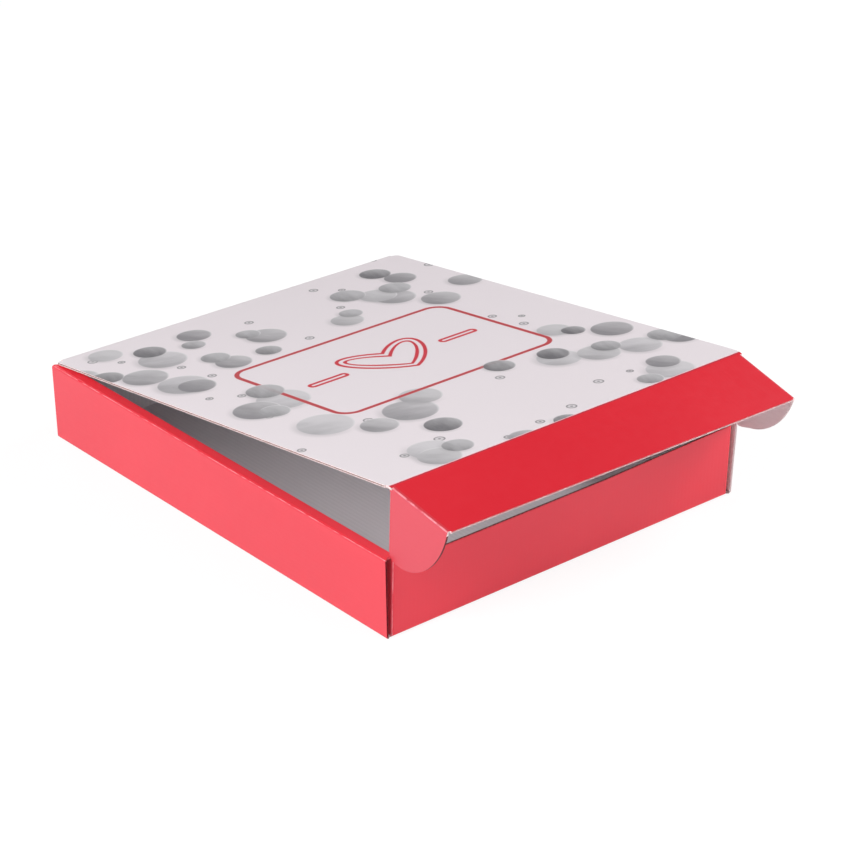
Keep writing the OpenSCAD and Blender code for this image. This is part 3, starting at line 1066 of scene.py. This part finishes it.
def joinPieces(pieces, name):
    deselectAll()
    for piece in pieces:
        piece.select_set(True)
    bpy.context.view_layer.objects.active = pieces[0]
    bpy.ops.object.join()
    rename(pieces[0], name)
    return pieces[0]


def frontPoint(x, z):
    return Vector((x, -tray["wallY"], z))


def sideEnd(side, end):
    # the raw end of an outer side panel, from its foot up to the ridge
    foot = Vector((side * tray["bottomHalf"], end * tray["sideEnd"], tray["low"]))
    head = Vector((side * tray["topX"], end * tray["sideEnd"], tray["ridgeZ"]))
    up = (head - foot).normalized()
    return foot + up * fold, head - up * fold, Vector((0, -end, 0))


def backEnd(side, x, z, endX, endZ):
    # a stretch of the raw edge at the back of a ridge and its inner panel
    y = tray["ridgeEnd"]
    return Vector((side * x, y, z)), Vector((side * endX, y, endZ)), Vector((0, -1, 0))


# along the front wall's top: from the left corner's rise to the lift, the rise itself, and the lift
down = Vector((0, 0, -1))
riseFoot = frontPoint(tray["cornerRun"] - tray["foldX"], tray["frontTop"])
riseHead = frontPoint(fold - tray["foldX"], tray["cornerTop"] - flute["cornerInset"])
liftStart = frontPoint(tray["liftFrom"], tray["frontTop"])
liftEnd = frontPoint(tray["foldX"] - fold, tray["frontTop"] + tray["lift"])
edges = [(riseFoot, liftStart, down), (riseHead, riseFoot, down), (liftStart, liftEnd, down)]
# of the two front ends of the outer side panels, only the near one isn't crushed flat
edges.append(sideEnd(-1, -1) + (flute["reach"], shadedEdge))
for side in (-1, 1):
    edges.append(sideEnd(side, 1))
    edges.append(backEnd(side, tray["innerX"] + fold, tray["ridgeZ"], tray["topX"] - fold, tray["ridgeZ"]))
    edges.append(backEnd(side, tray["innerX"], tray["frontTop"] - flute["innerRun"],
                         tray["innerX"], tray["ridgeZ"] - fold))
trayFlutes = joinPieces([makeFlutes("flutes", *edge) for edge in edges], "tray_flutes")
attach(trayFlutes, "tray")

flapFlutes = makeFlutes("flap_flutes", flapPoint(flute["flapInset"] - flap["half"], flap["length"]),
                        flapPoint(flap["half"] - flute["flapInset"], flap["length"]), -flapWay,
                        flute["flapReach"], flapEdge)
dropRightEnd(flapFlutes)
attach(flapFlutes, "tuck_flap")

print("stage: floor, lights and camera")

studio = {
    "floorSize": 12.0, "floorDrop": 0.0004, "floorTone": (0.82, 0.82, 0.82, 1), "floorRoughness": 0.9,
    "glow": 1.08, "glowShare": 0.80,      # how white the floor looks to the camera and in reflections
    # name, place and power
    "lamps": [
        ("keyLamp", (-1.8, -0.25, 1.3), 50.0),
        ("leftBackLamp", (-1.6, 1.0, 0.45), 6.0),
        ("frontLamp", (0.5, -1.9, 0.45), 14.0),
        ("rightLamp", (1.8, -0.6, 0.9), 52.0),
        ("backLamp", (0.3, 2.0, 1.4), 10.0),
    ],
    "lampSize": 1.4, "lampTarget": (0, 0, 0.05),
    "world": (0.02, 0.02, 0.02, 1),
    "focal": 115.672, "sensor": 36.0,
    "cameraPlace": (-1.07170897, -1.23102904, 0.84177265),
    "cameraTurn": (63.557066, -1.289144, -41.210353),
}


def makeFloor():
    size = studio["floorSize"]
    piece = newPlane("floor", (0, 0, -studio["floorDrop"]), size, size)
    material, tree, shader = newMaterial("paleFloor")
    shader.inputs["Base Color"].default_value = studio["floorTone"]
    shader.inputs["Roughness"].default_value = studio["floorRoughness"]
    shader.inputs["Specular IOR Level"].default_value = 0.0
    glow = addNode(tree, "ShaderNodeEmission", Color=(1, 1, 1, 1), Strength=studio["glow"])
    path = addNode(tree, "ShaderNodeLightPath")
    seen = plus(tree, path.outputs["Is Camera Ray"], path.outputs["Is Glossy Ray"])
    seen = mathNode(tree, "ADD", seen, path.outputs["Is Transmission Ray"], clamp=True)
    share = times(tree, seen, studio["glowShare"])
    mixed = addNode(tree, "ShaderNodeMixShader", i0=share, i1=shader.outputs[0], i2=glow.outputs[0])
    tree.links.new(mixed.outputs[0], tree.nodes["Material Output"].inputs["Surface"])
    piece.data.materials.append(material)


def areaLamp(name, place, power):
    lamp = bpy.data.lights.new(name, "AREA")
    lamp.shape = "DISK"
    lamp.size = studio["lampSize"]
    lamp.energy = power
    holder = bpy.data.objects.new(name, lamp)
    holder.location = place
    aim = Vector(studio["lampTarget"]) - Vector(place)
    holder.rotation_euler = aim.to_track_quat("-Z", "Y").to_euler()
    bpy.context.scene.collection.objects.link(holder)


makeFloor()
for lamp in studio["lamps"]:
    areaLamp(*lamp)

world = bpy.data.worlds.new("studioWorld")
bpy.context.scene.world = world
world.use_nodes = True
world.node_tree.nodes["Background"].inputs["Color"].default_value = studio["world"]

cameraData = bpy.data.cameras.new("camera")
cameraData.sensor_width = studio["sensor"]
cameraData.lens = studio["focal"]
cameraData.clip_start = 0.05
cameraData.clip_end = 50
camera = bpy.data.objects.new("camera", cameraData)
camera.location = studio["cameraPlace"]
camera.rotation_euler = Euler([math.radians(angle) for angle in studio["cameraTurn"]])
bpy.context.scene.collection.objects.link(camera)
bpy.context.scene.camera = camera
bpy.context.scene.view_settings.view_transform = "Standard"

print("stage: done")
